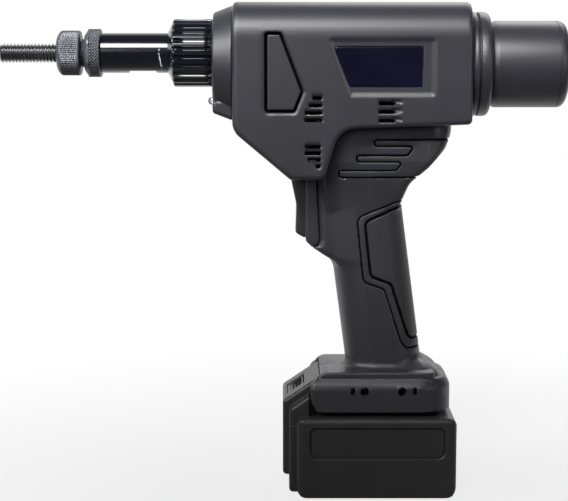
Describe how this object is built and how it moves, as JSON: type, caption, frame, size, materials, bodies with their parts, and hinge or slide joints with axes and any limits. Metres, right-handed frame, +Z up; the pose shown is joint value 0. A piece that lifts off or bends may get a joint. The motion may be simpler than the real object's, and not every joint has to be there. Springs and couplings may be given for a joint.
{
  "type": "cordless rivet nut tool",
  "caption": "Pistol-grip battery tool that sets threaded rivets: a screwed mandrel and anvil on a long nose sleeve, barrel body with round tail, trigger handle and slide-in battery.",
  "frame": {"origin": "centre of the flat underside of the battery, on the plane of symmetry", "axes": "+Z up, -X toward the nose and the mandrel tip, Y across the tool"},
  "size_m": [0.3545, 0.074, 0.3105],
  "materials": {
    "shell": "fine textured nylon, satin-matte",
    "soft_grip": "matte soft overmould",
    "black_plastic": "moulded, matte",
    "battery_plastic": "moulded, semi-matte",
    "plate": "gloss, bare, no lettering",
    "anodised": "gloss black anodised",
    "black_steel": "black oxide, oiled",
    "steel": "machined",
    "copper": "bare metal",
    "board": "circuit board",
    "cell": "wrapped cell",
    "clear": "clear moulded"
  },
  "bodies": {
    "frame": {"body_left": "shell", "body_right": "shell", "handle_left": "shell", "handle_right": "shell", "gear_case": "shell", "nose_sleeve": "anodised", "led_lamp": "clear", "chin_lens": "clear", "side_inlays": "shell", "name_plates": "plate", "palm_pad": "soft_grip", "grip_pad": "soft_grip", "grip_band": "soft_grip", "trigger_guide": "black_plastic", "switch_module": "black_plastic", "trigger_spring": "steel", "thrust_bearing": "steel", "nut_bearing": "steel", "mid_plate": "steel", "ring_gear": "steel", "motor_plate": "steel", "motor_bearings": "steel", "stator_core": "steel", "stator_coils": "copper", "guide_tube": "steel", "spin_motor": "steel", "rear_collar": "shell", "tail_cap": "shell", "control_board": "board", "terminal_block": "black_plastic", "terminal_blades": "copper", "power_leads": "copper", "housing_screws": "steel", "foot_screws": "steel"},
    "trigger": {"trigger": "black_plastic"},
    "anvil": {"anvil": "black_steel"},
    "lock_nut": {"lock_nut": "black_steel"},
    "stroke_ring": {"stroke_ring": "anodised"},
    "drawbar": {"draw_sleeve": "steel", "pull_screw": "steel", "key_collar": "steel"},
    "mandrel": {"mandrel": "black_steel"},
    "nut": {"pull_nut": "steel"},
    "idler": {"idler_gear": "steel"},
    "carrier": {"planet_carrier": "steel"},
    "planet_a": {"planet_a": "steel"},
    "planet_b": {"planet_b": "steel"},
    "planet_c": {"planet_c": "steel"},
    "rotor": {"motor_rotor": "steel", "motor_fan": "black_plastic"},
    "spin": {"spin_shaft": "steel"},
    "battery": {"battery_tub": "battery_plastic", "battery_cover": "battery_plastic", "cell_frame": "black_plastic", "battery_cells": "cell", "pack_board": "board", "pack_contacts": "copper", "pack_labels": "plate", "latch_spring": "steel"},
    "latch": {"release_button": "battery_plastic"}
  },
  "joints": [
    {"name": "trigger_pull", "type": "slide", "parent": "frame", "child": "trigger", "axis": [1, 0, 0], "range_m": [0, 0.006], "stiffness_N_per_m": 900, "springref_m": -0.004, "deforming": ["trigger_spring"]},
    {"name": "battery_slide", "type": "slide", "parent": "frame", "child": "battery", "axis": [-1, 0, 0], "range_m": [0, 0.095]},
    {"name": "battery_latch", "type": "slide", "parent": "battery", "child": "latch", "axis": [0, 0, -1], "range_m": [0, 0.004], "stiffness_N_per_m": 800, "springref_m": -0.003, "deforming": ["latch_spring"]},
    {"name": "stroke_ring_turn", "type": "hinge", "parent": "frame", "child": "stroke_ring", "pos_m": [0, 0, 0.279], "axis": [1, 0, 0], "range_deg": [-180, 180]},
    {"name": "lock_nut_turn", "type": "hinge", "parent": "frame", "child": "lock_nut", "pos_m": [0, 0, 0.279], "axis": [1, 0, 0], "range_deg": [-180, 180]},
    {"name": "anvil_turn", "type": "hinge", "parent": "frame", "child": "anvil", "pos_m": [0, 0, 0.279], "axis": [1, 0, 0], "range_deg": [-180, 180]},
    {"name": "nut_spin", "type": "hinge", "parent": "frame", "child": "nut", "pos_m": [0, 0, 0.279], "axis": [1, 0, 0], "range_deg": [0, 720.5]},
    {"name": "draw_slide", "type": "slide", "parent": "frame", "child": "drawbar", "axis": [1, 0, 0], "range_m": [0, 0.008]},
    {"name": "spin_drive", "type": "hinge", "parent": "frame", "child": "spin", "pos_m": [0, 0, 0.279], "axis": [1, 0, 0], "continuous": true},
    {"name": "mandrel_spin", "type": "hinge", "parent": "drawbar", "child": "mandrel", "pos_m": [0, 0, 0.279], "axis": [1, 0, 0], "continuous": true},
    {"name": "idler_turn", "type": "hinge", "parent": "frame", "child": "idler", "pos_m": [0, 0, 0.2475], "axis": [1, 0, 0], "range_deg": [-1669.4, 0]},
    {"name": "carrier_turn", "type": "hinge", "parent": "frame", "child": "carrier", "pos_m": [0, 0, 0.231], "axis": [1, 0, 0], "range_deg": [0, 2264.9]},
    {"name": "rotor_spin", "type": "hinge", "parent": "frame", "child": "rotor", "pos_m": [0, 0, 0.231], "axis": [1, 0, 0], "range_deg": [0, 11319.3]},
    {"name": "planet_a_turn", "type": "hinge", "parent": "carrier", "child": "planet_a", "pos_m": [0, 0.01125, 0.231], "axis": [1, 0, 0], "range_deg": [-6038.3, 0]},
    {"name": "planet_b_turn", "type": "hinge", "parent": "carrier", "child": "planet_b", "pos_m": [0, -0.00562, 0.24074], "axis": [1, 0, 0], "range_deg": [-6038.3, 0]},
    {"name": "planet_c_turn", "type": "hinge", "parent": "carrier", "child": "planet_c", "pos_m": [0, -0.00562, 0.22126], "axis": [1, 0, 0], "range_deg": [-6038.3, 0]}
  ],
  "couplings": [
    {"joint": "nut_spin", "follows": "draw_slide", "rad_per_m": 1570.8},
    {"joint": "idler_turn", "follows": "draw_slide", "rad_per_m": -3637.6},
    {"joint": "carrier_turn", "follows": "draw_slide", "rad_per_m": 4936.8},
    {"joint": "rotor_spin", "follows": "draw_slide", "rad_per_m": 24684},
    {"joint": "mandrel_spin", "follows": "spin_drive", "ratio": 1},
    {"joint": "planet_a_turn", "follows": "draw_slide", "rad_per_m": -13165},
    {"joint": "planet_b_turn", "follows": "draw_slide", "rad_per_m": -13165},
    {"joint": "planet_c_turn", "follows": "draw_slide", "rad_per_m": -13165}
  ]
}
